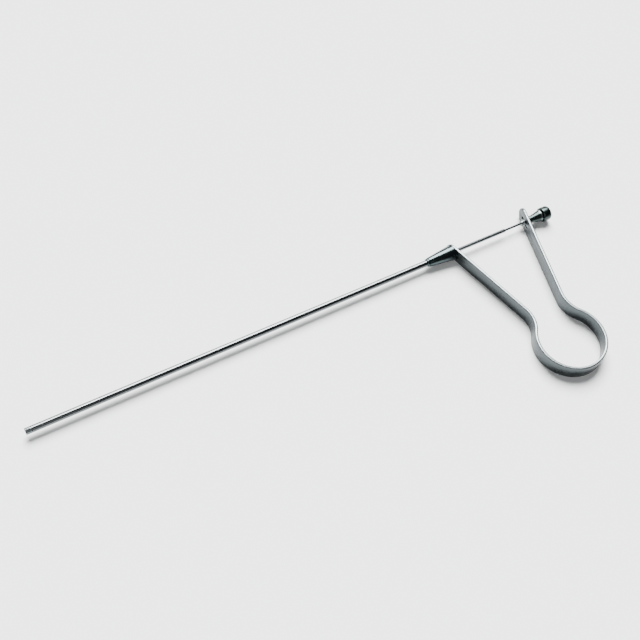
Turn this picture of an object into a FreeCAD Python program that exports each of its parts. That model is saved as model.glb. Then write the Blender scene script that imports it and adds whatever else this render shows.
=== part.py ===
import FreeCAD, Part
import math
import os

# Hand grasper for keyhole surgery: a thin tube with two small jaws at its mouth, and a bow of
# spring strip as the handle. Squeezing the bow pushes the drive rod forward. The jaws then leave
# the tube and their spring opens them. Letting go draws them back, and the tube's mouth shuts them.
# Frame: +X runs along the shaft from the jaws to the knob, +Y is away from the finger ring, and
# +Z is across the strip. The origin is on the shaft's axis at the hub's front face.

Vector = FreeCAD.Vector

# Shaft
shaft_diameter = 5.0
shaft_wall = 0.4
working_length = 320.0          # from the hub's front face to the tube's mouth
mouth_chamfer = 0.15
tube_seat_depth = 9.0           # turned-down end of the tube, inside the hub
tube_seat_step = 0.2            # radius lost on that end

# Fits
running_clearance = 0.05        # radial, between a piece that slides or turns and its guide
seat_clearance = 0.01           # radial, between a piece and the seat that holds it
face_clearance = 0.05           # between flat faces that move past each other

# Drive rod and its guides
rod_diameter = 2.0
spacer_count = 4
spacer_length = 4.0
spacer_margin = 40.0            # from either end of the tube to the first spacer
guide_diameter = 3.0
guide_reach = 50.0              # length of the guide tube that stands behind the front leg
guide_flange_length = 1.2

# Hub
hub_length = 24.3               # front face to the front leg, along the axis
nose_length = 2.0
nose_radius = 3.3
nose_chamfer = 0.5
hub_front_radius = 3.65
hub_front_round = 0.6
hub_rear_radius = 6.35
bush_length = 5.2
seal_section = 1.1              # thickness of the seal's cord
hub_screw_diameter = 2.0
hub_screw_length = 7.0
hub_screw_head_diameter = 3.8
hub_screw_spacing = 8.2
screw_slot_width = 0.5
screw_slot_depth = 0.5

# Bow of spring strip, sizes along the middle of its thickness
strip_width = 12.8
strip_thickness = 2.25
strip_edge_radius = 0.35
leg_gap = 71.2                  # between the legs, on the shaft's axis
leg_lean = 14.4                 # degrees, each leg to the shaft's normal
ring_drop = 108.4               # from the shaft's axis to the ring's centre
ring_radius = 26.7
neck_radius = 22.1
front_top_rise = 0.5            # centre of the leg's round top, along the leg from the axis
rear_top_rise = 6.0
squeeze_angle = 4.2             # degrees that the rear leg turns at the ring's bottom
squeeze_relief = 0.6            # degrees more, cut away there
slot_rise = 5.4                 # slot of the rear leg, along the leg from the axis
slot_drop = 7.6
slot_side_clearance = 0.25

# Rod end: stop collar, domed washers and knob
washer_dome_radius = 4.2
washer_diameter = 5.6
washer_rim = 0.6
washer_clearance = 0.1          # from a washer's dome to the edges of the slot
collar_diameter = 4.2
collar_length = 2.4
collar_chamfer = 0.3
knob_neck_diameter = 6.2
knob_neck_length = 2.6
knob_flare_diameter = 9.7
knob_flare_length = 8.6
knob_groove_diameter = 8.4
knob_groove_width = 1.0
knob_spigot_diameter = 6.0
knob_spigot_length = 3.6
knob_cap_diameter = 12.0
knob_cap_length = 8.2
knob_cap_front_round = 1.3
knob_cap_rear_round = 2.6
rod_end_depth = 11.0            # length of the rod inside the knob
grub_diameter = 1.2
grub_length = 0.9
grub_hex_across = 0.55
grub_hex_depth = 0.4

# Jaws and their yoke
jaw_reach = 4.3                 # length of the jaws outside the mouth when they are shut
jaw_seat_gap = 0.05
jaw_face_gap = 0.06             # from the shaft's axis plane to a jaw's teeth
jaw_nose_round = 0.5
tooth_pitch = 0.6
tooth_depth = 0.22
pivot_depth = 11.0              # from the mouth back to the jaws' pin
pivot_pin_diameter = 1.0
eye_radius = 1.2
eye_thickness = 0.6
shank_outer = 1.0               # height of a shank's two faces above the shaft's axis
shank_inner = 0.36
shank_half_width = 0.95
shank_root_gap = 0.3            # from an eye's rim to where the shank takes its full width
yoke_socket_gap = 1.6           # from the fork's bottom to the rod's end
yoke_socket_depth = 5.0
yoke_pin_diameter = 0.8
pin_end_gap = 0.1               # from a pin's ends to the outside of the yoke
spring_wire = 0.25
spring_coil_radius = 0.95
spring_coil_half_length = 0.3
spring_leg_length = 6.0
spring_leg_gap = 0.05

# Sizes that follow
shaft_radius = shaft_diameter / 2
bore_radius = shaft_radius - shaft_wall
tube_seat_radius = shaft_radius - tube_seat_step
rod_radius = rod_diameter / 2
guide_radius = guide_diameter / 2
guide_bore_radius = rod_radius + running_clearance
half_slot_width = rod_radius + slot_side_clearance
half_strip = strip_thickness / 2
half_width = strip_width / 2
lean = math.radians(leg_lean)
leg_x = hub_length + half_strip / math.cos(lean)
bow_x = leg_x + leg_gap / 2
rear_leg_x = leg_x + leg_gap
mouth_x = -working_length
pivot_x = mouth_x + pivot_depth
beyond = 50.0                   # reach of cutting tools past the work


def cylinder_x(radius, x_start, x_end):
    return Part.makeCylinder(radius, x_end - x_start, Vector(x_start, 0, 0), Vector(1, 0, 0))


def cylinder_z(radius, x, z_start, z_end):
    return Part.makeCylinder(radius, z_end - z_start, Vector(x, 0, z_start), Vector(0, 0, 1))


def box(x_range, y_range, z_range):
    corner = Vector(x_range[0], y_range[0], z_range[0])
    sizes = [high - low for low, high in (x_range, y_range, z_range)]
    return Part.makeBox(*sizes, corner)


def turned(profile):
    """Solid of revolution about the shaft's axis, from corners given as (x, radius)."""
    corners = [Vector(x, radius, 0) for x, radius in profile]
    face = Part.Face(Part.makePolygon(corners + corners[:1]))
    return face.revolve(Vector(0, 0, 0), Vector(1, 0, 0), 360)


def rim_edges(shape, x, radius):
    """Circular edges about the shaft's axis, at one place and of one radius."""
    found = []
    for edge in shape.Edges:
        if isinstance(edge.Curve, Part.Circle) and abs(edge.Curve.Radius - radius) < 1e-6:
            if abs(edge.Curve.Center.x - x) < 1e-6:
                found.append(edge)
    return found


def save(name, shape):
    shape.exportStep(f"parts/{name}.step")


# Bow


def leg_frame(rear, rise, depth):
    """Place on a leg: rise along it from the shaft's axis, depth out of its middle away from the bow."""
    side = -1 if rear else 1
    x_start = rear_leg_x if rear else leg_x
    x = x_start - side * (rise * math.sin(lean) + depth * math.cos(lean))
    y = rise * math.cos(lean) - depth * math.sin(lean)
    return Vector(x, y, 0)


def leg_outward(rear):
    return leg_frame(rear, 0, 1) - leg_frame(rear, 0, 0)


def neck_centre():
    """Centre of the front neck's bend, on the outer side of the leg, and where the leg ends."""
    ring_centre = Vector(bow_x, -ring_drop, 0)
    down = leg_frame(False, -1, 0) - leg_frame(False, 0, 0)
    first = leg_frame(False, 0, neck_radius) - ring_centre
    along = first.dot(down)
    leg_length = -along - math.sqrt(along ** 2 - first.dot(first) + (ring_radius + neck_radius) ** 2)
    return leg_frame(False, -leg_length, neck_radius), leg_length


def arc(centre, radius, start, end):
    """Arc in the bow's plane, between two angles in radians."""
    points = []
    for angle in (start, (start + end) / 2, end):
        points.append(centre + Vector(radius * math.cos(angle), radius * math.sin(angle), 0))
    return Part.Arc(*points).toShape()


def front_outline(rise_top):
    """Closed outline of the front half, from the leg's top down its outer side and back up its inner."""
    ring_centre = Vector(bow_x, -ring_drop, 0)
    centre, leg_length = neck_centre()
    to_ring = ring_centre - centre
    ring_angle = math.atan2(to_ring.y, to_ring.x)
    join_angle = ring_angle + math.pi
    bottom_angle = 1.5 * math.pi
    edges = []
    for depth in (half_strip, -half_strip):
        edges.append(Part.LineSegment(leg_frame(False, rise_top, depth),
                                      leg_frame(False, -leg_length, depth)).toShape())
        edges.append(arc(centre, neck_radius - depth, lean, ring_angle))
        edges.append(arc(ring_centre, ring_radius + depth, join_angle, bottom_angle))
    top_ends = [leg_frame(False, rise_top, depth) for depth in (half_strip, -half_strip)]
    bottom_ends = [Vector(bow_x, -ring_drop - ring_radius - depth, 0) for depth in (half_strip, -half_strip)]
    edges.append(Part.LineSegment(*top_ends).toShape())
    edges.append(Part.LineSegment(*bottom_ends).toShape())
    return Part.Wire(Part.__sortEdges__(edges))


def bow_half(rear):
    """Half of the bow, from the round top of its leg to the bottom of the ring."""
    top_rise = rear_top_rise if rear else front_top_rise
    rise_top = top_rise + half_width
    half = Part.Face(front_outline(rise_top)).extrude(Vector(0, 0, strip_width))
    half.translate(Vector(0, 0, -half_width))
    if rear:
        half = half.mirror(Vector(bow_x, 0, 0), Vector(1, 0, 0))
    # the round top is a disc across the leg, kept with all that lies below the disc's centre
    outward = leg_outward(rear)
    centre = leg_frame(rear, top_rise, 0)
    disc = Part.makeCylinder(half_width, beyond, centre - outward * (beyond / 2), outward)
    above = leg_block(rear, (top_rise, top_rise + beyond))
    return half.cut(above.cut(disc))


def leg_block(rear, rise_range):
    """Block across a leg, wider and thicker than the strip."""
    low, high = rise_range
    corners = []
    for rise, depth in ((low, -beyond / 2), (low, beyond / 2), (high, beyond / 2), (high, -beyond / 2)):
        corners.append(leg_frame(rear, rise, depth) - Vector(0, 0, beyond / 2))
    return Part.Face(Part.makePolygon(corners + corners[:1])).extrude(Vector(0, 0, beyond))


def long_edges(shape):
    """Edges of a bow half that run along the strip's two sides."""
    found = []
    for edge in shape.Edges:
        middle = edge.valueAt((edge.FirstParameter + edge.LastParameter) / 2)
        on_side = abs(abs(middle.z) - half_width) < 1e-4
        lies_flat = abs(edge.Vertexes[0].Z - edge.Vertexes[-1].Z) < 1e-4
        at_split = abs(middle.x - bow_x) < 1e-4
        if on_side and lies_flat and not at_split and edge.Length > strip_thickness * 1.5:
            found.append(edge)
    return found


def screw_place(side):
    """Middle of a hub screw's head, on the front leg's inner face."""
    return leg_frame(False, 0, -half_strip) + Vector(0, 0, side * hub_screw_spacing / 2)


def screw_tool(side, clearance):
    """Countersunk screw or its hole, pointing from the leg's inner face into the hub."""
    into_hub = leg_outward(False)
    radius = hub_screw_diameter / 2 + clearance
    head_radius = hub_screw_head_diameter / 2 + clearance
    shank = Part.makeCylinder(radius, hub_screw_length + clearance, screw_place(side), into_hub)
    head = Part.makeCone(head_radius, radius, head_radius - radius, screw_place(side), into_hub)
    return shank.fuse(head).removeSplitter()


def bow_front():
    half = bow_half(False)
    half = half.makeFillet(strip_edge_radius, long_edges(half))
    half = half.cut(cylinder_x(guide_radius + seat_clearance, leg_x - beyond, leg_x + beyond))
    for side in (-1, 1):
        half = half.cut(screw_tool(side, seat_clearance))
    return half


def slot_tool():
    """Round-ended slot through the rear leg."""
    outward = leg_outward(True)
    ends = (half_slot_width - slot_drop, slot_rise - half_slot_width)
    corners = []
    for rise, side in ((ends[0], -1), (ends[0], 1), (ends[1], 1), (ends[1], -1)):
        corners.append(leg_frame(True, rise, -beyond / 2) + Vector(0, 0, side * half_slot_width))
    tool = Part.Face(Part.makePolygon(corners + corners[:1])).extrude(outward * beyond)
    for rise in ends:
        start = leg_frame(True, rise, -beyond / 2)
        tool = tool.fuse(Part.makeCylinder(half_slot_width, beyond, start, outward))
    return tool


def bow_rear():
    half = bow_half(True)
    half = half.makeFillet(strip_edge_radius, long_edges(half))
    # the inner half of the end face leans back, so that the squeeze doesn't press it into its twin
    pivot_y = -ring_drop - ring_radius
    relief_width = strip_thickness * math.tan(math.radians(squeeze_angle + squeeze_relief))
    corners = [Vector(bow_x, pivot_y, -half_width), Vector(bow_x, pivot_y + strip_thickness, -half_width),
               Vector(bow_x + relief_width, pivot_y + strip_thickness, -half_width)]
    wedge = Part.Face(Part.makePolygon(corners + corners[:1])).extrude(Vector(0, 0, strip_width))
    return half.cut(wedge).cut(slot_tool())


# Shaft and hub

hub_cavity_radius = tube_seat_radius + seat_clearance
bush_start = tube_seat_depth
seal_start = bush_start + bush_length
guide_start = seal_start + seal_section
cavity_end = guide_start + guide_flange_length


def outer_tube():
    """Thin tube with a small chamfer at the mouth and a turned-down end that seats in the hub."""
    return turned([(mouth_x, bore_radius), (mouth_x, shaft_radius - mouth_chamfer),
                   (mouth_x + mouth_chamfer, shaft_radius), (0, shaft_radius), (0, tube_seat_radius),
                   (tube_seat_depth, tube_seat_radius), (tube_seat_depth, bore_radius)])


def hub_nose():
    """Narrow ring in front of the hub, against the tube's shoulder."""
    return turned([(0, hub_cavity_radius), (0, nose_radius - nose_chamfer), (nose_chamfer, nose_radius),
                   (nose_length, nose_radius), (nose_length, hub_cavity_radius)])


def hub():
    """Cone that widens towards the front leg, with its rear face cut to the leg's lean."""
    reach = hub_length + half_width
    growth = (hub_rear_radius - hub_front_radius) / (hub_length - nose_length)
    far_radius = hub_front_radius + growth * (reach - nose_length)
    cone = turned([(nose_length, 0), (nose_length, hub_front_radius), (reach, far_radius), (reach, 0)])
    cone = cone.makeFillet(hub_front_round, rim_edges(cone, nose_length, hub_front_radius))
    corners = []
    for rise, depth in ((-beyond, half_strip), (beyond, half_strip), (beyond, -beyond), (-beyond, -beyond)):
        corners.append(leg_frame(False, rise, depth) - Vector(0, 0, beyond))
    behind = Part.Face(Part.makePolygon(corners + corners[:1])).extrude(Vector(0, 0, 2 * beyond))
    body = cone.cut(behind)
    body = body.cut(cylinder_x(hub_cavity_radius, -beyond, cavity_end))
    body = body.cut(cylinder_x(guide_radius + seat_clearance, cavity_end, leg_x + beyond))
    for side in (-1, 1):
        body = body.cut(screw_tool(side, seat_clearance))
    return body


def hub_bush():
    outer = cylinder_x(tube_seat_radius, bush_start, seal_start)
    return outer.cut(cylinder_x(guide_bore_radius, bush_start - 1, seal_start + 1))


def hub_seal():
    """Round seal on the rod, between the bush and the guide tube's flange."""
    radius = seal_section / 2
    middle = rod_radius + running_clearance + radius
    return Part.makeTorus(middle, radius, Vector(seal_start + radius, 0, 0), Vector(1, 0, 0))


def guide_tube():
    """Tube that steadies the rod behind the hub, with a flange that seats in the hub's cavity."""
    tube = cylinder_x(tube_seat_radius, guide_start, cavity_end)
    tube = tube.fuse(cylinder_x(guide_radius, guide_start, leg_x + guide_reach)).removeSplitter()
    return tube.cut(cylinder_x(guide_bore_radius, guide_start - 1, leg_x + guide_reach + 1))


def hub_screws():
    """Two countersunk screws that hold the front leg to the hub."""
    screws = []
    for side in (-1, 1):
        into_hub = leg_outward(False)
        screw = screw_tool(side, 0)
        start = screw_place(side)
        slot = box((-beyond, beyond), (-screw_slot_width / 2, screw_slot_width / 2), (-beyond, beyond))
        slot = slot.common(Part.makeCylinder(hub_screw_head_diameter, screw_slot_depth, Vector(0, 0, 0),
                                             Vector(0, 0, 1)))
        slot.Placement = FreeCAD.Placement(start, FreeCAD.Rotation(Vector(0, 0, 1), into_hub))
        screws.append(screw.cut(slot))
    return Part.makeCompound(screws)


# Rod and what rides on it

dome_seat = math.sqrt(washer_dome_radius ** 2 - half_slot_width ** 2) + washer_clearance
dome_offset = (dome_seat + half_strip) / math.cos(lean)
front_dome_x = rear_leg_x - dome_offset
rear_dome_x = rear_leg_x + dome_offset
dome_rim = math.sqrt(washer_dome_radius ** 2 - (washer_diameter / 2) ** 2)
front_washer_flat = front_dome_x + dome_rim - washer_rim
rear_washer_flat = rear_dome_x - dome_rim + washer_rim
collar_start = front_washer_flat - collar_length
knob_start = rear_washer_flat
flare_start = knob_start + knob_neck_length
flare_end = flare_start + knob_flare_length
groove_end = flare_end + knob_groove_width
knob_end = groove_end + knob_cap_length
rod_rear_end = knob_start + rod_end_depth
fork_bottom = pivot_x + eye_radius + shank_root_gap
rod_front_end = fork_bottom + yoke_socket_gap
yoke_end = rod_front_end + yoke_socket_depth
yoke_pin_x = rod_front_end + yoke_socket_depth / 2
yoke_radius = bore_radius - running_clearance
collar_grub_x = collar_start + collar_length / 2
knob_grub_x = knob_start + knob_neck_length / 2


def drive_rod():
    rod = cylinder_x(rod_radius, rod_front_end, rod_rear_end)
    hole = Part.makeCylinder(yoke_pin_diameter / 2 + seat_clearance, beyond,
                             Vector(yoke_pin_x, -beyond / 2, 0), Vector(0, 1, 0))
    return rod.cut(hole)


def rod_spacers():
    """Plastic beads on the rod that keep it in the middle of the tube."""
    first = mouth_x + spacer_margin
    pitch = (-spacer_margin - first) / (spacer_count - 1)
    spacers = []
    for number in range(spacer_count):
        middle = first + number * pitch
        ends = (middle - spacer_length / 2, middle + spacer_length / 2)
        spacers.append(cylinder_x(yoke_radius, *ends).cut(cylinder_x(rod_radius + seat_clearance, *ends)))
    return Part.makeCompound(spacers)


def domed_washer(dome_x, side):
    """Washer with a ball-shaped face towards the leg, which lets the leg tilt on it."""
    ball = Part.makeSphere(washer_dome_radius, Vector(dome_x, 0, 0))
    ends = sorted((dome_x + side * (dome_rim - washer_rim), dome_x + side * washer_dome_radius))
    blank = cylinder_x(washer_diameter / 2, *ends)
    hole = cylinder_x(rod_radius + running_clearance, *ends)
    return ball.common(blank).cut(hole)


def grub_hole(x, outer_radius, clearance):
    """Threaded hole for a set screw, on the underside."""
    radius = grub_diameter / 2 + clearance
    return Part.makeCylinder(radius, outer_radius, Vector(x, 0, 0), Vector(0, 0, -1))


def stop_collar():
    radius = collar_diameter / 2
    ends = (collar_start, front_washer_flat)
    collar = cylinder_x(radius, *ends)
    collar = collar.makeChamfer(collar_chamfer, rim_edges(collar, collar_start, radius))
    collar = collar.cut(cylinder_x(rod_radius + seat_clearance, *ends))
    return collar.cut(grub_hole(collar_grub_x, radius, seat_clearance))


def set_screws():
    """Two socket set screws, one in the collar and one in the knob's neck."""
    screws = []
    for x in (collar_grub_x, knob_grub_x):
        start = Vector(x, 0, -rod_radius - seat_clearance)
        screw = Part.makeCylinder(grub_diameter / 2, grub_length, start, Vector(0, 0, -1))
        mouth = start - Vector(0, 0, grub_length)
        corners = []
        for corner in range(7):
            angle = math.radians(60 * corner)
            corner_radius = grub_hex_across / 2 / math.cos(math.radians(30))
            corners.append(mouth + Vector(math.cos(angle), math.sin(angle), 0) * corner_radius)
        socket = Part.Face(Part.makePolygon(corners)).extrude(Vector(0, 0, grub_hex_depth))
        screws.append(screw.cut(socket))
    return Part.makeCompound(screws)


def knob():
    """Turned knob: a thin neck, a flare, a groove and a spigot that carries the cap."""
    neck, flare = knob_neck_diameter / 2, knob_flare_diameter / 2
    groove, spigot = knob_groove_diameter / 2, knob_spigot_diameter / 2
    body = turned([(knob_start, 0), (knob_start, neck), (flare_start, neck), (flare_end, flare),
                   (flare_end, groove), (groove_end, groove), (groove_end, spigot),
                   (groove_end + knob_spigot_length, spigot), (groove_end + knob_spigot_length, 0)])
    body = body.cut(cylinder_x(rod_radius + seat_clearance, knob_start - 1, rod_rear_end))
    return body.cut(grub_hole(knob_grub_x, neck, seat_clearance))


def knob_cap():
    radius = knob_cap_diameter / 2
    cap = cylinder_x(radius, groove_end, knob_end)
    cap = cap.makeFillet(knob_cap_front_round, rim_edges(cap, groove_end, radius))
    cap = cap.makeFillet(knob_cap_rear_round, rim_edges(cap, knob_end, radius))
    socket_end = groove_end + knob_spigot_length + face_clearance
    return cap.cut(cylinder_x(knob_spigot_diameter / 2 + seat_clearance, groove_end - 1, socket_end))


# Jaws


def upper_jaw():
    """Half-round toothed head on a thin shank, with an eye on one side of the fork."""
    seat_x = mouth_x - jaw_seat_gap
    tip_x = mouth_x - jaw_reach
    head = cylinder_x(shaft_radius, tip_x, seat_x)
    head = head.makeFillet(jaw_nose_round, rim_edges(head, tip_x, shaft_radius))
    head = head.cut(box((tip_x - 1, seat_x + 1), (-beyond, jaw_face_gap), (-beyond, beyond)))
    tooth_count = int((jaw_reach - jaw_seat_gap - tooth_pitch) / tooth_pitch)
    for number in range(tooth_count):
        middle = tip_x + tooth_pitch * (number + 1)
        corners = [Vector(middle - tooth_pitch / 2, jaw_face_gap, -beyond),
                   Vector(middle + tooth_pitch / 2, jaw_face_gap, -beyond),
                   Vector(middle, jaw_face_gap + tooth_depth, -beyond)]
        groove = Part.Face(Part.makePolygon(corners + corners[:1])).extrude(Vector(0, 0, 2 * beyond))
        head = head.cut(groove)
    root_x = pivot_x - eye_radius - shank_root_gap
    eye_z = (shank_half_width - eye_thickness, shank_half_width)
    shank = box((seat_x - jaw_reach / 2, root_x), (shank_inner, shank_outer),
                (-shank_half_width, shank_half_width))
    bridge = box((root_x - eye_radius, pivot_x), (shank_inner, shank_outer), eye_z)
    eye = cylinder_z(eye_radius, pivot_x, *eye_z)
    web = box((root_x + shank_root_gap, pivot_x), (0, shank_outer), eye_z)
    jaw = head.fuse([shank, bridge, eye, web.common(cylinder_z(shank_outer + eye_radius, pivot_x, *eye_z))])
    hole_radius = pivot_pin_diameter / 2 + running_clearance
    return jaw.removeSplitter().cut(cylinder_z(hole_radius, pivot_x, -beyond, beyond))


def lower_jaw():
    jaw = upper_jaw()
    jaw.rotate(Vector(0, 0, 0), Vector(1, 0, 0), 180)
    return jaw


def jaw_pin():
    length = math.sqrt(yoke_radius ** 2 - (pivot_pin_diameter / 2) ** 2) - pin_end_gap
    return cylinder_z(pivot_pin_diameter / 2, pivot_x, -length, length)


def jaw_spring():
    """Torsion spring round the jaws' pin, with a leg under each shank."""
    coil_z = (-spring_coil_half_length, spring_coil_half_length)
    coil = cylinder_z(spring_coil_radius, pivot_x, *coil_z)
    coil = coil.cut(cylinder_z(spring_coil_radius - spring_wire, pivot_x, *coil_z))
    leg_top = shank_inner - spring_leg_gap
    legs = []
    for low, high in ((leg_top - spring_wire, leg_top), (-leg_top, spring_wire - leg_top)):
        leg = box((pivot_x - spring_leg_length, pivot_x - spring_coil_radius + spring_wire),
                  (low, high), (-spring_wire / 2, spring_wire / 2))
        legs.append(leg)
    return coil.fuse(legs).removeSplitter()


def yoke():
    """Fork that carries the jaws' pin, socketed on the rod's front end."""
    fork_front = pivot_x - eye_radius
    body = cylinder_x(yoke_radius, fork_front, yoke_end)
    slot_half = shank_half_width + face_clearance
    body = body.cut(box((fork_front - 1, fork_bottom), (-beyond, beyond), (-slot_half, slot_half)))
    body = body.cut(cylinder_x(rod_radius + seat_clearance, rod_front_end, yoke_end + 1))
    body = body.cut(cylinder_z(pivot_pin_diameter / 2 + seat_clearance, pivot_x, -beyond, beyond))
    cross = Part.makeCylinder(yoke_pin_diameter / 2 + seat_clearance, 2 * beyond,
                              Vector(yoke_pin_x, -beyond, 0), Vector(0, 1, 0))
    return body.cut(cross)


def yoke_pin():
    radius = yoke_pin_diameter / 2
    length = math.sqrt(yoke_radius ** 2 - radius ** 2) - pin_end_gap
    return Part.makeCylinder(radius, 2 * length, Vector(yoke_pin_x, -length, 0), Vector(0, 1, 0))


pieces = {
    "outer_tube": outer_tube,
    "hub_nose": hub_nose,
    "hub": hub,
    "hub_bush": hub_bush,
    "hub_seal": hub_seal,
    "guide_tube": guide_tube,
    "hub_screws": hub_screws,
    "bow_front": bow_front,
    "bow_rear": bow_rear,
    "drive_rod": drive_rod,
    "rod_spacers": rod_spacers,
    "stop_collar": stop_collar,
    "front_washer": lambda: domed_washer(front_dome_x, 1),
    "rear_washer": lambda: domed_washer(rear_dome_x, -1),
    "knob": knob,
    "knob_cap": knob_cap,
    "set_screws": set_screws,
    "yoke": yoke,
    "yoke_pin": yoke_pin,
    "jaw_pin": jaw_pin,
    "jaw_spring": jaw_spring,
    "upper_jaw": upper_jaw,
    "lower_jaw": lower_jaw,
}

os.makedirs("parts", exist_ok=True)
for name, make in pieces.items():
    save(name, make())
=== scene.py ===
import math
import bpy
from mathutils import Matrix, Vector


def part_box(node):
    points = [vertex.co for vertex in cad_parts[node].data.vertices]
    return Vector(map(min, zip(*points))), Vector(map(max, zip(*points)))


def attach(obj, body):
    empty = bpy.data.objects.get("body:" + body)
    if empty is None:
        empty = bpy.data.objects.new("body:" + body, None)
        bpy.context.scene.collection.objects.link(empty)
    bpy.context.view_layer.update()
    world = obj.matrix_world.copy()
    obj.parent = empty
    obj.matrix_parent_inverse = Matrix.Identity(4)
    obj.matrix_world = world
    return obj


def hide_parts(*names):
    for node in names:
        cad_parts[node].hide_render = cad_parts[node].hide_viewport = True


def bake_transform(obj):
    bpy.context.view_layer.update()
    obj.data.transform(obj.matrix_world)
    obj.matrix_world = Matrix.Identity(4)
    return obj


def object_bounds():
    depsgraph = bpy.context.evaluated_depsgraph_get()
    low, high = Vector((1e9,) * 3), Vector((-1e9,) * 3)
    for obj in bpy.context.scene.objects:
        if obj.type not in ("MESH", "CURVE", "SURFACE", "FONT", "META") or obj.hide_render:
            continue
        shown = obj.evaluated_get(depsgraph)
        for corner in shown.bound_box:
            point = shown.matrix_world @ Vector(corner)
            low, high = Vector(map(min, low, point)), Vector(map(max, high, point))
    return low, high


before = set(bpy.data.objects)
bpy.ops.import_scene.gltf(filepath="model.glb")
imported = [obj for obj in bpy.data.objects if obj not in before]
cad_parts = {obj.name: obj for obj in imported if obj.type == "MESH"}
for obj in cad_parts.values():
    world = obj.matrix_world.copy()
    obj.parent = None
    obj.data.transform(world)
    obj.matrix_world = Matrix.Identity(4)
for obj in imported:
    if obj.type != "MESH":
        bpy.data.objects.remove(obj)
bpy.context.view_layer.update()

# Sizes in metres
MM = 0.001
STRIP_WIDTH = 12.8 * MM
STRIP_THICKNESS = 2.25 * MM
STRIP_EDGE_ROUND = 0.6 * MM
LEG_GAP = 71.2 * MM             # between the legs' middles, on the shaft's axis
LEG_LEAN = math.radians(14.4)
RING_DROP = 108.4 * MM          # from the shaft's axis to the ring's centre
RING_RADIUS = 26.7 * MM
NECK_RADIUS = 22.1 * MM
FRONT_TOP_RISE = 0.5 * MM       # centre of a leg's round top, along the leg from the axis
REAR_TOP_RISE = 6.0 * MM
SLOT_RISE = 5.4 * MM
SLOT_DROP = 7.6 * MM
SLOT_HALF_WIDTH = 1.25 * MM
SCREW_SPACING = 8.2 * MM
SCREW_HEAD_RADIUS = 1.92 * MM
SCREW_RADIUS = 1.02 * MM
GUIDE_HOLE_RADIUS = 1.51 * MM
CUT_REACH = 12.0 * MM           # length of a cutter, well past both faces of the strip
CUT_LIP = 0.5 * MM              # a countersink's cutter starts this far above the face
CUT_STEPS = 48                  # straight sides of a round cutter
LEG_TOP_STEPS = 20              # straight parts of a leg's quarter round
NECK_STEPS = 28
RING_STEPS = 120
WELD = 0.001 * MM               # vertices closer than this are one
HAIR = 0.01 * MM                # clearance round the rod and the spigot, and the least length that counts
SHAFT_RADIUS = 2.5 * MM
SHAFT_BORE_RADIUS = 2.1 * MM
SHAFT_SEAT_RADIUS = 2.3 * MM
SHAFT_SEAT_DEPTH = 9.0 * MM
MOUTH_CHAMFER = 0.15 * MM
HUB_LENGTH = 24.3 * MM
HUB_FRONT_RADIUS = 3.65 * MM
HUB_REAR_RADIUS = 6.35 * MM
HUB_BORE_RADIUS = 2.31 * MM
HUB_CAVITY_END = 16.5 * MM
HUB_ROUND = 0.5 * MM
HUB_OVERRUN = 6.0 * MM          # the cone is drawn this far past the leg before it is bisected
NOSE_RADIUS = 3.3 * MM
NOSE_CHAMFER = 0.5 * MM
GUIDE_RADIUS = 1.5 * MM
GUIDE_BORE_RADIUS = 1.05 * MM
ROD_RADIUS = 1.0 * MM
KNOB_NECK_RADIUS = 3.1 * MM
KNOB_NECK_LENGTH = 2.6 * MM
KNOB_FLARE_RADIUS = 4.85 * MM
KNOB_FLARE_LENGTH = 8.6 * MM
KNOB_FLARE_HOLLOW = 0.06        # how far the flare dips below a straight cone, as a share of its rise
FLARE_STEPS = 8
KNOB_GROOVE_RADIUS = 4.2 * MM
KNOB_GROOVE_WIDTH = 1.0 * MM
KNOB_SPIGOT_RADIUS = 3.0 * MM
CAP_FRONT_ROUND = 1.3 * MM
CAP_FRONT_STEPS = 6
CAP_REAR_ROUND = 2.6 * MM
CAP_REAR_STEPS = 10
CAP_DISH_RADIUS = 3.1 * MM
CAP_DISH_DEPTH = 0.25 * MM
CAP_CENTRE_RADIUS = 0.1 * MM    # rings this small are merged into the end faces' centres
CAP_SOCKET_DEPTH = 3.65 * MM
FLOOR_SIZE = 6.0
FLOOR_GAP = 0.02 * MM
CAMERA_AZIMUTH = -35.56
CAMERA_ELEVATION = 58.23
CAMERA_ROLL = 8.28
CAMERA_PLACE = (-0.3122, -0.3053, 0.5873)
CAMERA_LENS = 51.84             # on a 36 mm sensor, for the whole 640 px
FINE_BEVEL = 0.12 * MM
TURNED_STEPS = 96               # straight sides of a turned piece's rings
SMOOTH_ANGLE = math.radians(32)
SHARP_ANGLE = math.radians(35)  # edges that turn by more than this are rounded

leg_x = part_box("hub_nose")[0].x + HUB_LENGTH + STRIP_THICKNESS / 2 / math.cos(LEG_LEAN)
bow_x = leg_x + LEG_GAP / 2


# Shaping helpers


def clear_selection():
    if bpy.context.object and bpy.context.object.mode != "OBJECT":
        bpy.ops.object.mode_set(mode="OBJECT")
    bpy.ops.object.select_all(action="DESELECT")


def start_shaping(name):
    """Names the primitive just added, brings its place into its mesh and opens it in edit mode."""
    piece = bpy.context.object
    piece.name = piece.data.name = name
    bpy.ops.object.transform_apply(location=True, rotation=True, scale=True)
    bpy.ops.object.mode_set(mode="EDIT")
    bpy.ops.mesh.select_mode(type="VERT")
    bpy.ops.mesh.select_all(action="SELECT")
    return piece


def select_in_edit(piece, kind, test):
    """Selects only the vertices, edges or faces that pass the test, and stays in edit mode."""
    bpy.ops.mesh.select_mode(type=kind)
    bpy.ops.mesh.select_all(action="DESELECT")
    bpy.ops.object.mode_set(mode="OBJECT")
    items = {"VERT": piece.data.vertices, "EDGE": piece.data.edges, "FACE": piece.data.polygons}[kind]
    for item in items:
        item.select = bool(test(item))
    bpy.ops.object.mode_set(mode="EDIT")


def outward_normals():
    bpy.ops.mesh.select_all(action="SELECT")
    bpy.ops.mesh.remove_doubles(threshold=WELD)
    bpy.ops.mesh.normals_make_consistent(inside=False)


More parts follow.
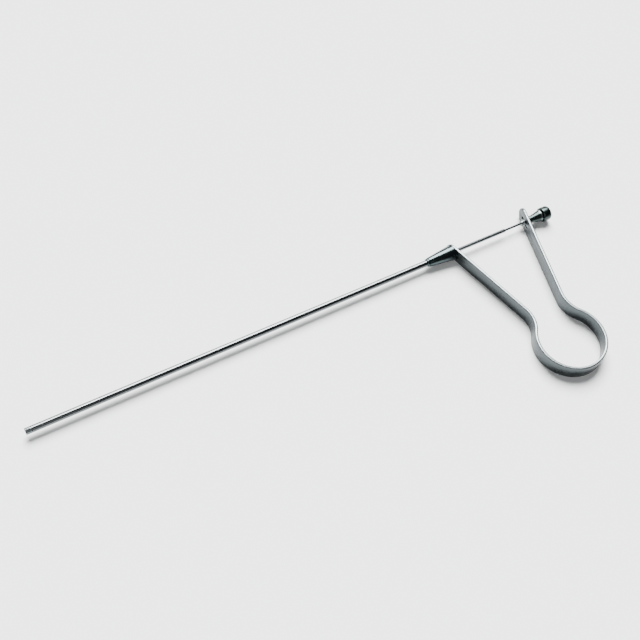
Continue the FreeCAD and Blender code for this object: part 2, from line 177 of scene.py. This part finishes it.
def apply_modifier(piece, kind, **settings):
    bpy.context.view_layer.objects.active = piece
    modifier = piece.modifiers.new(kind.title(), kind)
    for key, value in settings.items():
        setattr(modifier, key, value)
    bpy.ops.object.modifier_apply(modifier=modifier.name)


def smooth(piece):
    """Shades the piece's shallow edges smooth and leaves its sharp ones."""
    clear_selection()
    piece.select_set(True)
    bpy.context.view_layer.objects.active = piece
    bpy.ops.object.shade_smooth_by_angle(angle=SMOOTH_ANGLE)


def round_edges(piece, width, segments=3):
    clear_selection()
    piece.select_set(True)
    apply_modifier(piece, "BEVEL", width=width, segments=segments, limit_method="ANGLE",
                   angle_limit=SHARP_ANGLE, harden_normals=False)
    smooth(piece)


def turned_piece(name, profile, closed=False):
    """Piece turned about the shaft's axis: a ring drawn out ring by ring through (x, radius) corners.
    A closed profile comes back to its first corner, as on a tube, and an open one gets flat ends."""
    clear_selection()
    x, radius = profile[0]
    bpy.ops.mesh.primitive_circle_add(vertices=TURNED_STEPS, radius=radius, fill_type="NOTHING",
                                      location=(x, 0, 0), rotation=(0, math.pi / 2, 0))
    piece = start_shaping(name)
    if not closed:
        bpy.ops.mesh.edge_face_add()
    corners = list(profile[1:]) + ([profile[0]] if closed else [])
    for next_x, next_radius in corners:
        bpy.ops.mesh.extrude_region_move(TRANSFORM_OT_translate={"value": (next_x - x, 0, 0)})
        growth = next_radius / radius
        bpy.ops.transform.resize(value=(1, growth, growth), center_override=(next_x, 0, 0))
        x, radius = next_x, next_radius
    outward_normals()
    bpy.ops.object.mode_set(mode="OBJECT")
    return piece


def cut_away(piece, cutter):
    clear_selection()
    piece.select_set(True)
    apply_modifier(piece, "BOOLEAN", operation="DIFFERENCE", object=cutter, solver="EXACT")
    bpy.data.objects.remove(cutter)


# Bow of spring strip


def leg_place(rear, rise, depth):
    """Place on a leg: rise along it from the shaft's axis, depth out of its middle away from the bow."""
    side = -1 if rear else 1
    x = bow_x - side * (LEG_GAP / 2 + rise * math.sin(LEG_LEAN) + depth * math.cos(LEG_LEAN))
    y = rise * math.cos(LEG_LEAN) - depth * math.sin(LEG_LEAN)
    return Vector((x, y, 0))


def neck():
    """Centre of the front neck's bend, and how far below the shaft's axis its leg is straight."""
    ring_centre = Vector((bow_x, -RING_DROP, 0))
    down = leg_place(False, -1, 0) - leg_place(False, 0, 0)
    first = leg_place(False, 0, NECK_RADIUS) - ring_centre
    along = first.dot(down)
    straight = -along - math.sqrt(along ** 2 - first.dot(first) + (RING_RADIUS + NECK_RADIUS) ** 2)
    return leg_place(False, -straight, NECK_RADIUS), straight


def leg_turn(rear):
    """Turn about Z that brings +Y onto the leg."""
    return -LEG_LEAN if rear else LEG_LEAN


def slot_cutter():
    """Round-ended bar along the rear leg's normal."""
    clear_selection()
    middle = (SLOT_RISE - SLOT_DROP) / 2
    bpy.ops.mesh.primitive_cylinder_add(vertices=CUT_STEPS, radius=SLOT_HALF_WIDTH, depth=CUT_REACH,
                                        rotation=(0, math.pi / 2, 0))
    cutter = start_shaping("slot_cutter")
    select_in_edit(cutter, "VERT", lambda vertex: vertex.co.y > 0)
    bpy.ops.transform.translate(value=(0, SLOT_RISE + SLOT_DROP - 2 * SLOT_HALF_WIDTH, 0))
    bpy.ops.object.mode_set(mode="OBJECT")
    half_run = (SLOT_RISE + SLOT_DROP) / 2 - SLOT_HALF_WIDTH
    cutter.rotation_euler.z = leg_turn(True)
    cutter.location = leg_place(True, middle - half_run, 0)
    bpy.ops.object.transform_apply(location=True, rotation=True, scale=True)
    return cutter


def screw_cutter(side):
    """Countersunk hole from the front leg's inner face."""
    clear_selection()
    sink = SCREW_HEAD_RADIUS - SCREW_RADIUS
    bpy.ops.mesh.primitive_cone_add(vertices=CUT_STEPS, radius1=SCREW_HEAD_RADIUS + CUT_LIP,
                                    radius2=SCREW_RADIUS, depth=sink + CUT_LIP,
                                    rotation=(0, -math.pi / 2, 0))
    cutter = start_shaping("screw_cutter")
    select_in_edit(cutter, "FACE", lambda face: face.normal.x < -0.9)
    bpy.ops.mesh.extrude_region_move(TRANSFORM_OT_translate={"value": (-CUT_REACH, 0, 0)})
    bpy.ops.object.mode_set(mode="OBJECT")
    cutter.location = leg_place(False, 0, (sink - CUT_LIP - STRIP_THICKNESS) / 2)
    cutter.location.z = side * SCREW_SPACING / 2
    cutter.rotation_euler.z = leg_turn(False)
    bpy.ops.object.transform_apply(location=True, rotation=True, scale=True)
    return cutter


def guide_cutter():
    """Round hole along the shaft's axis, through the front leg."""
    clear_selection()
    bpy.ops.mesh.primitive_cylinder_add(vertices=CUT_STEPS, radius=GUIDE_HOLE_RADIUS, depth=CUT_REACH,
                                        location=(leg_x, 0, 0), rotation=(0, math.pi / 2, 0))
    cutter = start_shaping("guide_cutter")
    bpy.ops.object.mode_set(mode="OBJECT")
    return cutter


def round_leg_top(piece, rear, top):
    """Rounds the end of a leg in its own plane, from one side of the strip to the other."""
    def across_top(edge):
        first, second = (piece.data.vertices[i].co for i in edge.vertices)
        near_top = all((end - leg_place(rear, top, 0)).length < STRIP_WIDTH for end in (first, second))
        return near_top and abs(first.z - second.z) < HAIR

    select_in_edit(piece, "EDGE", across_top)
    bpy.ops.mesh.bevel(offset=STRIP_WIDTH / 2 - HAIR, segments=LEG_TOP_STEPS, affect="EDGES",
                       clamp_overlap=False)


def make_bow():
    """One strip: its section goes down the front leg, is spun round the necks and the ring, and goes up
    the rear leg. Both tops are rounded, and the slot and the holes are cut."""
    clear_selection()
    neck_centre, straight = neck()
    ring_centre = Vector((bow_x, -RING_DROP, 0))
    front_top = FRONT_TOP_RISE + STRIP_WIDTH / 2
    rear_top = REAR_TOP_RISE + STRIP_WIDTH / 2
    bpy.ops.mesh.primitive_plane_add(size=1, location=leg_place(False, front_top, 0),
                                     rotation=(math.pi / 2, 0, 0))
    section = bpy.context.object
    section.rotation_euler = (math.pi / 2, 0, leg_turn(False))
    section.scale = (STRIP_THICKNESS, STRIP_WIDTH, 1)
    bow = start_shaping("spring_bow")
    bpy.ops.mesh.delete(type="ONLY_FACE")
    bpy.ops.mesh.select_all(action="SELECT")
    to_ring = ring_centre - neck_centre
    # A positive spin turns clockwise, seen from above
    neck_angle = LEG_LEAN - math.atan2(to_ring.y, to_ring.x)
    ring_angle = math.pi - 2 * math.atan2(to_ring.y, to_ring.x)
    rear_neck_centre = Vector((2 * bow_x - neck_centre.x, neck_centre.y, 0))
    down = leg_place(False, -straight, 0) - leg_place(False, front_top, 0)
    bpy.ops.mesh.extrude_region_move(TRANSFORM_OT_translate={"value": down})
    bpy.ops.mesh.spin(steps=NECK_STEPS, angle=neck_angle, center=neck_centre, axis=(0, 0, 1))
    bpy.ops.mesh.spin(steps=RING_STEPS, angle=-ring_angle, center=ring_centre, axis=(0, 0, 1))
    bpy.ops.mesh.spin(steps=NECK_STEPS, angle=neck_angle, center=rear_neck_centre, axis=(0, 0, 1))
    up = leg_place(True, rear_top, 0) - leg_place(True, -straight, 0)
    bpy.ops.mesh.extrude_region_move(TRANSFORM_OT_translate={"value": up})
    bpy.ops.mesh.select_all(action="SELECT")
    bpy.ops.mesh.remove_doubles(threshold=WELD)
    bpy.ops.mesh.select_all(action="DESELECT")
    bpy.ops.mesh.select_non_manifold()
    bpy.ops.mesh.fill()
    outward_normals()
    round_leg_top(bow, False, front_top)
    round_leg_top(bow, True, rear_top)
    outward_normals()
    bpy.ops.object.mode_set(mode="OBJECT")
    round_edges(bow, STRIP_EDGE_ROUND)
    for cutter in (slot_cutter(), guide_cutter(), screw_cutter(-1), screw_cutter(1)):
        cut_away(bow, cutter)
    round_edges(bow, FINE_BEVEL, segments=2)
    return bow


# Pieces turned about the shaft's axis


def make_shaft():
    """Thin tube with a chamfered mouth. Its thinner rear end is hidden in the hub."""
    front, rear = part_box("outer_tube")[0].x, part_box("hub_nose")[0].x
    tube = turned_piece("shaft_tube", [
        (front, SHAFT_BORE_RADIUS), (front, SHAFT_RADIUS - MOUTH_CHAMFER),
        (front + MOUTH_CHAMFER, SHAFT_RADIUS), (rear, SHAFT_RADIUS), (rear, SHAFT_SEAT_RADIUS),
        (rear + SHAFT_SEAT_DEPTH, SHAFT_SEAT_RADIUS), (rear + SHAFT_SEAT_DEPTH, SHAFT_BORE_RADIUS)],
        closed=True)
    smooth(tube)
    return tube


def make_hub():
    """Cone with a rounded front shoulder, bisected along the front leg's outer face."""
    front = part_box("hub")[0].x
    reach = leg_x + HUB_OVERRUN
    growth = (HUB_REAR_RADIUS - HUB_FRONT_RADIUS) / (HUB_LENGTH - front)
    cone = turned_piece("hub_cone", [
        (front, HUB_BORE_RADIUS), (front, HUB_FRONT_RADIUS),
        (reach, HUB_FRONT_RADIUS + growth * (reach - front)), (reach, GUIDE_HOLE_RADIUS),
        (HUB_CAVITY_END, GUIDE_HOLE_RADIUS), (HUB_CAVITY_END, HUB_BORE_RADIUS)], closed=True)
    bpy.ops.object.mode_set(mode="EDIT")
    bpy.ops.mesh.select_all(action="SELECT")
    on_leg = leg_place(False, 0, STRIP_THICKNESS / 2)
    bpy.ops.mesh.bisect(plane_co=on_leg, plane_no=leg_place(False, 0, 1) - leg_place(False, 0, 0),
                        use_fill=True, clear_inner=True)
    bpy.ops.object.mode_set(mode="OBJECT")
    round_edges(cone, HUB_ROUND, segments=4)
    return cone


def make_hub_nose():
    low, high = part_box("hub_nose")
    ring = turned_piece("hub_nose_ring", [
        (low.x, HUB_BORE_RADIUS), (low.x, NOSE_RADIUS - NOSE_CHAMFER), (low.x + NOSE_CHAMFER, NOSE_RADIUS),
        (high.x, NOSE_RADIUS), (high.x, HUB_BORE_RADIUS)], closed=True)
    round_edges(ring, FINE_BEVEL)
    return ring


def make_guide_tube():
    low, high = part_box("guide_tube")
    tube = turned_piece("guide_tube_sleeve", [
        (low.x, GUIDE_BORE_RADIUS), (low.x, HUB_BORE_RADIUS), (HUB_CAVITY_END, HUB_BORE_RADIUS),
        (HUB_CAVITY_END, GUIDE_RADIUS), (high.x, GUIDE_RADIUS), (high.x, GUIDE_BORE_RADIUS)], closed=True)
    round_edges(tube, FINE_BEVEL)
    return tube


def make_rod():
    low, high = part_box("drive_rod")
    rod = turned_piece("drive_rod_bar", [(low.x, ROD_RADIUS), (high.x, ROD_RADIUS)])
    round_edges(rod, FINE_BEVEL)
    return rod


def make_knob():
    """Neck, slightly hollow flare, groove and the spigot that carries the cap."""
    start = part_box("knob")[0].x
    flare_start = start + KNOB_NECK_LENGTH
    flare_end = flare_start + KNOB_FLARE_LENGTH
    flare = []
    for step in range(1, FLARE_STEPS + 1):
        share = step / FLARE_STEPS
        swell = share - KNOB_FLARE_HOLLOW * math.sin(math.pi * share)
        flare.append((flare_start + KNOB_FLARE_LENGTH * share,
                      KNOB_NECK_RADIUS + (KNOB_FLARE_RADIUS - KNOB_NECK_RADIUS) * swell))
    groove_end = flare_end + KNOB_GROOVE_WIDTH
    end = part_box("knob")[1].x
    knob = turned_piece("knob_body", [
        (start, ROD_RADIUS + HAIR), (start, KNOB_NECK_RADIUS), (flare_start, KNOB_NECK_RADIUS), *flare,
        (flare_end + FINE_BEVEL, KNOB_FLARE_RADIUS), (flare_end + FINE_BEVEL, KNOB_GROOVE_RADIUS),
        (groove_end, KNOB_GROOVE_RADIUS), (groove_end, KNOB_SPIGOT_RADIUS), (end, KNOB_SPIGOT_RADIUS),
        (end, ROD_RADIUS + HAIR)], closed=True)
    round_edges(knob, FINE_BEVEL)
    return knob


def make_knob_cap():
    """Cap with a well-rounded rear rim, a shallow dish in its end and a socket for the knob's spigot."""
    low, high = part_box("knob_cap")
    radius = high.z
    profile = [(low.x, KNOB_SPIGOT_RADIUS + HAIR), (low.x, radius - CAP_FRONT_ROUND)]
    for step in range(1, CAP_FRONT_STEPS + 1):
        angle = math.pi / 2 * step / CAP_FRONT_STEPS
        profile.append((low.x + CAP_FRONT_ROUND * (1 - math.cos(angle)),
                        radius - CAP_FRONT_ROUND * (1 - math.sin(angle))))
    for step in range(CAP_REAR_STEPS + 1):
        angle = math.pi / 2 * step / CAP_REAR_STEPS
        profile.append((high.x - CAP_REAR_ROUND * (1 - math.sin(angle)),
                        radius - CAP_REAR_ROUND * (1 - math.cos(angle))))
    profile += [(high.x, CAP_DISH_RADIUS), (high.x - CAP_DISH_DEPTH, CAP_DISH_RADIUS - 2 * CAP_DISH_DEPTH),
                (high.x - CAP_DISH_DEPTH, CAP_CENTRE_RADIUS), (low.x + CAP_SOCKET_DEPTH, CAP_CENTRE_RADIUS),
                (low.x + CAP_SOCKET_DEPTH, KNOB_SPIGOT_RADIUS + HAIR)]
    cap = turned_piece("knob_end_cap", profile, closed=True)
    bpy.ops.object.mode_set(mode="EDIT")
    nearly_centre = CAP_CENTRE_RADIUS * 1.01
    for side in (-1, 1):
        select_in_edit(cap, "VERT", lambda vertex: math.hypot(vertex.co.y, vertex.co.z) < nearly_centre
                       and side * (vertex.co.x - high.x + 2 * CAP_DISH_DEPTH) > 0)
        bpy.ops.mesh.merge(type="CENTER")
    bpy.ops.mesh.select_all(action="SELECT")
    bpy.ops.mesh.delete_loose(use_verts=False, use_edges=True, use_faces=False)
    outward_normals()
    bpy.ops.mesh.select_all(action="DESELECT")
    bpy.ops.object.mode_set(mode="OBJECT")
    round_edges(cap, FINE_BEVEL / 2)
    return cap


# Materials

CLOUD_SCALE = 90.0              # cycles per metre: clouds of tone about 11 mm across
SPECK_SCALE = 2600.0            # specks about 0.4 mm across, drawn coarser than real ones
STREAK_CONTRAST = 0.07
# Width of the painted highlight band along the strip's long edges, and how much of the lighter edge colour
# is mixed in
RIM_HIGHLIGHT_WIDTH = 0.25 * MM
WEAR_AND_HIGHLIGHT_AMOUNT = 0.8
# The colour mix has several sockets of one name, so these are their places
MIX_FIRST, MIX_SECOND, MIX_COLOUR = 6, 7, 2


def linear(hex_colour):
    """sRGB hex colour as the linear values that the shader takes."""
    values = []
    for start in (1, 3, 5):
        value = int(hex_colour[start:start + 2], 16) / 255
        values.append(value / 12.92 if value <= 0.04045 else ((value + 0.055) / 1.055) ** 2.4)
    return (*values, 1.0)


def add_node(material, kind, settings=None, links=None):
    """Adds a node. Settings are its properties or its sockets' values. Links go from a (node, output)
    to a socket."""
    node = material.node_tree.nodes.new(kind)
    for key, value in (settings or {}).items():
        if isinstance(key, int) or key in node.inputs:
            node.inputs[key].default_value = value
        else:
            setattr(node, key, value)
    for socket, (source, output) in (links or {}).items():
        material.node_tree.links.new(source.outputs[output], node.inputs[socket])
    return node


def empty_material(name):
    material = bpy.data.materials.new(name)
    material.use_nodes = True
    material.node_tree.nodes.clear()
    return material


def metal(name, colour, worn_and_highlight_colour, roughness, streak_scale, streak_depth, cloud=0.10, spread=0.08,
          rim=None):
    """Bare metal with fine parallel streaks, slow clouds of tone and edges painted lighter.
    streak_scale is the streaks' pattern scale along X, Y and Z, in cycles per metre, and streak_depth
    their height. cloud is how far the tone wanders, and spread how far the roughness does. The lighter
    colour lies on convex edges, or with rim, as a painted highlight on the edges that far from the middle
    across the strip."""
    material = empty_material(name)
    place = add_node(material, "ShaderNodeTexCoord")
    lines_at = add_node(material, "ShaderNodeMapping", {"Scale": streak_scale},
                        {"Vector": (place, "Object")})
    lines = add_node(material, "ShaderNodeTexNoise", {"Scale": 1.0, "Detail": 3.0, "Roughness": 0.6},
                     {"Vector": (lines_at, "Vector")})
    clouds = add_node(material, "ShaderNodeTexNoise", {"Scale": CLOUD_SCALE, "Detail": 4.0,
                                                       "Roughness": 0.55}, {"Vector": (place, "Object")})
    specks = add_node(material, "ShaderNodeTexNoise", {"Scale": SPECK_SCALE, "Detail": 2.0},
                      {"Vector": (place, "Object")})
    tone = add_node(material, "ShaderNodeMapRange",
                    {"From Min": 0.3, "From Max": 0.7, "To Min": 1 - cloud, "To Max": 1 + cloud},
                    {"Value": (clouds, "Fac")})
    streak_tone = add_node(material, "ShaderNodeMapRange",
                           {"From Min": 0.3, "From Max": 0.7, "To Min": 1 - STREAK_CONTRAST,
                            "To Max": 1 + STREAK_CONTRAST}, {"Value": (lines, "Fac")})
    tones = add_node(material, "ShaderNodeMath", {"operation": "MULTIPLY"},
                     {0: (tone, "Result"), 1: (streak_tone, "Result")})
    toned = add_node(material, "ShaderNodeVectorMath", {"operation": "SCALE", 0: linear(colour)[:3]},
                     {"Scale": (tones, "Value")})
    if rim:
        # Painted highlight: a lighter band along the strip's long edges, where they catch the key light
        apart = add_node(material, "ShaderNodeSeparateXYZ", None, {"Vector": (place, "Object")})
        across = add_node(material, "ShaderNodeMath", {"operation": "ABSOLUTE"}, {0: (apart, "Z")})
        edge = add_node(material, "ShaderNodeMapRange", {"From Min": rim - RIM_HIGHLIGHT_WIDTH, "From Max": rim},
                        {"Value": (across, "Value")})
    else:
        # Otherwise the convex edges are painted lighter
        shape = add_node(material, "ShaderNodeNewGeometry")
        edge = add_node(material, "ShaderNodeMapRange", {"From Min": 0.54, "From Max": 0.64},
                        {"Value": (shape, "Pointiness")})
    edge_wear_and_highlight = add_node(material, "ShaderNodeMath", {"operation": "MULTIPLY", 1: WEAR_AND_HIGHLIGHT_AMOUNT},
                         {0: (edge, "Result")})
    base = add_node(material, "ShaderNodeMix",
                    {"data_type": "RGBA", "blend_type": "MIX", MIX_SECOND: linear(worn_and_highlight_colour)},
                    {"Factor": (edge_wear_and_highlight, "Value"), MIX_FIRST: (toned, "Vector")})
    rough = add_node(material, "ShaderNodeMapRange",
                     {"From Min": 0.25, "From Max": 0.75, "To Min": roughness - spread,
                      "To Max": roughness + spread}, {"Value": (clouds, "Fac")})
    grain = add_node(material, "ShaderNodeMath", {"operation": "MULTIPLY_ADD", 1: 0.25},
                     {0: (specks, "Fac"), 2: (lines, "Fac")})
    bump = add_node(material, "ShaderNodeBump", {"Strength": 0.35, "Distance": streak_depth},
                    {"Height": (grain, "Value")})
    shader = add_node(material, "ShaderNodeBsdfPrincipled", {"Metallic": 1.0},
                      {"Base Color": (base, MIX_COLOUR), "Roughness": (rough, "Result"),
                       "Normal": (bump, "Normal")})
    add_node(material, "ShaderNodeOutputMaterial", None, {"Surface": (shader, "BSDF")})
    return material


def soft_material(name, colour, roughness, speckle_scale):
    """Plastic or rubber with a fine moulded grain. speckle_scale is in cycles per metre."""
    material = empty_material(name)
    place = add_node(material, "ShaderNodeTexCoord")
    grain = add_node(material, "ShaderNodeTexNoise", {"Scale": speckle_scale, "Detail": 3.0},
                     {"Vector": (place, "Object")})
    tone = add_node(material, "ShaderNodeMapRange", {"To Min": 0.92, "To Max": 1.06},
                    {"Value": (grain, "Fac")})
    toned = add_node(material, "ShaderNodeVectorMath", {"operation": "SCALE", 0: linear(colour)[:3]},
                     {"Scale": (tone, "Result")})
    rough = add_node(material, "ShaderNodeMapRange",
                     {"To Min": roughness - 0.08, "To Max": roughness + 0.08}, {"Value": (grain, "Fac")})
    bump = add_node(material, "ShaderNodeBump", {"Strength": 0.3, "Distance": 0.01 * MM},
                    {"Height": (grain, "Fac")})
    shader = add_node(material, "ShaderNodeBsdfPrincipled", None,
                      {"Base Color": (toned, "Vector"), "Roughness": (rough, "Result"),
                       "Normal": (bump, "Normal")})
    add_node(material, "ShaderNodeOutputMaterial", None, {"Surface": (shader, "BSDF")})
    return material


def coat(piece, material):
    piece.data.materials.clear()
    piece.data.materials.append(material)


# All streaks are drawn coarser than on a real ground, turned or drawn surface, so that they show.

# Satin strip, ground along its length. It gives the eye soft mid-grey faces with streaks 0.25 mm apart
# that run round the bow, between two long edges painted lighter as a painted highlight
strip_titanium = metal("satin_strip_titanium", "#4c5254", "#787e7f", 0.30, (25, 25, 4000), 0.004 * MM,
                       rim=STRIP_WIDTH / 2)
# Polished tube, ground between wheels. It gives one white line and one dark line along its whole length
shaft_titanium = metal("polished_shaft_titanium", "#4f5354", "#747879", 0.22, (3000, 60, 60), 0.0003 * MM,
                       cloud=0.05, spread=0.04)
# Turned and polished hub and knob. They give sharp white and near-black bands with rings 0.3 mm apart
turned_titanium = metal("turned_hub_titanium", "#3a4345", "#6f7778", 0.20, (3300, 50, 50), 0.002 * MM,
                        cloud=0.06, spread=0.04)
knob_titanium = metal("turned_knob_titanium", "#303938", "#5b6263", 0.26, (3300, 50, 50), 0.003 * MM,
                      cloud=0.08, spread=0.05)
# Drawn rod. Streaks from the die run along it, so its highlight is broader and greyer than the tube's
drawn_titanium = metal("drawn_rod_titanium", "#72787a", "#93989a", 0.28, (40, 3500, 3500), 0.002 * MM,
                       cloud=0.05, spread=0.05)
# Ground jaws. They are a little duller than the tube that they end
jaw_titanium = metal("ground_jaw_titanium", "#596062", "#8d9394", 0.28, (2500, 2500, 80), 0.003 * MM)
# Stainless screws, pins and springs. They are small bright points against the greyer titanium
fastener_steel = metal("stainless_fastener_steel", "#8e9092", "#b9bbbc", 0.22, (900, 900, 900), 0.002 * MM,
                       cloud=0.05, spread=0.05)
# White sliding plastic and black seal rubber. They are dull rings where the rod passes
guide_plastic = soft_material("white_fluoroplastic", "#e6e5df", 0.45, 1500.0)
seal_rubber = soft_material("black_silicone", "#1b1b1d", 0.6, 2200.0)


# Dress the object

bow = make_bow()
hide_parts("bow_front", "bow_rear")
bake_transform(bow)
coat(bow, strip_titanium)

dressed = (
    (make_shaft, "outer_tube", "handle", "shaft_titanium", shaft_titanium),
    (make_hub, "hub", "handle", "hub_titanium", turned_titanium),
    (make_hub_nose, "hub_nose", "handle", "hub_titanium", turned_titanium),
    (make_guide_tube, "guide_tube", "handle", "rod_titanium", drawn_titanium),
    (make_rod, "drive_rod", "rod", "rod_titanium", drawn_titanium),
    (make_knob, "knob", "rod", "knob_titanium", knob_titanium),
    (make_knob_cap, "knob_cap", "rod", "knob_titanium", knob_titanium),
)
for make, node, body, slot_name, material in dressed:
    piece = make()
    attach(piece, body)
    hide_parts(node)
    coat(piece, material)

kept_nodes = {
    drawn_titanium: ("yoke", "stop_collar", "front_washer", "rear_washer"),
    jaw_titanium: ("upper_jaw", "lower_jaw"),
    fastener_steel: ("hub_screws", "set_screws", "jaw_pin", "yoke_pin", "jaw_spring"),
    guide_plastic: ("hub_bush", "rod_spacers"),
    seal_rubber: ("hub_seal",),
}
for material, nodes in kept_nodes.items():
    for node in nodes:
        coat(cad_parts[node], material)

object_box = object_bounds()


# Studio


def make_floor():
    clear_selection()
    bpy.ops.mesh.primitive_plane_add(size=FLOOR_SIZE, location=(0, 0, object_box[0].z - FLOOR_GAP))
    floor = bpy.context.object
    floor.name = "floor"
    paper = bpy.data.materials.new("matt_paper")
    paper.use_nodes = True
    shader = paper.node_tree.nodes["Principled BSDF"]
    shader.inputs["Base Color"].default_value = linear("#f4f5f5")
    shader.inputs["Roughness"].default_value = 0.95
    shader.inputs["Specular IOR Level"].default_value = 0.1
    floor.data.materials.append(paper)


def add_sun(name, azimuth, elevation, strength, width):
    """Soft light from one direction, in degrees. The azimuth turns from +X towards +Y, and the width is
    the angle that the light fills."""
    bpy.ops.object.light_add(type="SUN")
    sun = bpy.context.object
    sun.name = name
    sun.data.energy = strength
    sun.data.angle = math.radians(width)
    flat = math.cos(math.radians(elevation))
    towards = Vector((flat * math.cos(math.radians(azimuth)), flat * math.sin(math.radians(azimuth)),
                      math.sin(math.radians(elevation))))
    sun.rotation_euler = towards.to_track_quat("Z", "Y").to_euler()


def make_camera():
    """Camera at the photograph's viewing angle, turned a little about its own line of sight."""
    azimuth, elevation, roll = (math.radians(a) for a in (CAMERA_AZIMUTH, CAMERA_ELEVATION, CAMERA_ROLL))
    back = Vector((math.sin(azimuth) * math.cos(elevation), -math.cos(azimuth) * math.cos(elevation),
                   math.sin(elevation)))
    level = Vector((math.cos(azimuth), math.sin(azimuth), 0))
    right = level * math.cos(roll) + back.cross(level) * math.sin(roll)
    turn = Matrix((right, back.cross(right), back)).transposed()
    bpy.ops.object.camera_add(location=CAMERA_PLACE, rotation=turn.to_euler())
    camera = bpy.context.object
    camera.data.lens = CAMERA_LENS
    camera.data.clip_start, camera.data.clip_end = 0.01, 20
    bpy.context.scene.camera = camera


make_floor()
add_sun("key_softbox", azimuth=67, elevation=52, strength=15.0, width=40)
add_sun("fill_softbox", azimuth=235, elevation=35, strength=1.0, width=60)
world = bpy.data.worlds.new("studio")
world.use_nodes = True
world.node_tree.nodes["Background"].inputs["Color"].default_value = (0.9, 0.95, 1.0, 1.0)
world.node_tree.nodes["Background"].inputs["Strength"].default_value = 0.10
bpy.context.scene.world = world
make_camera()
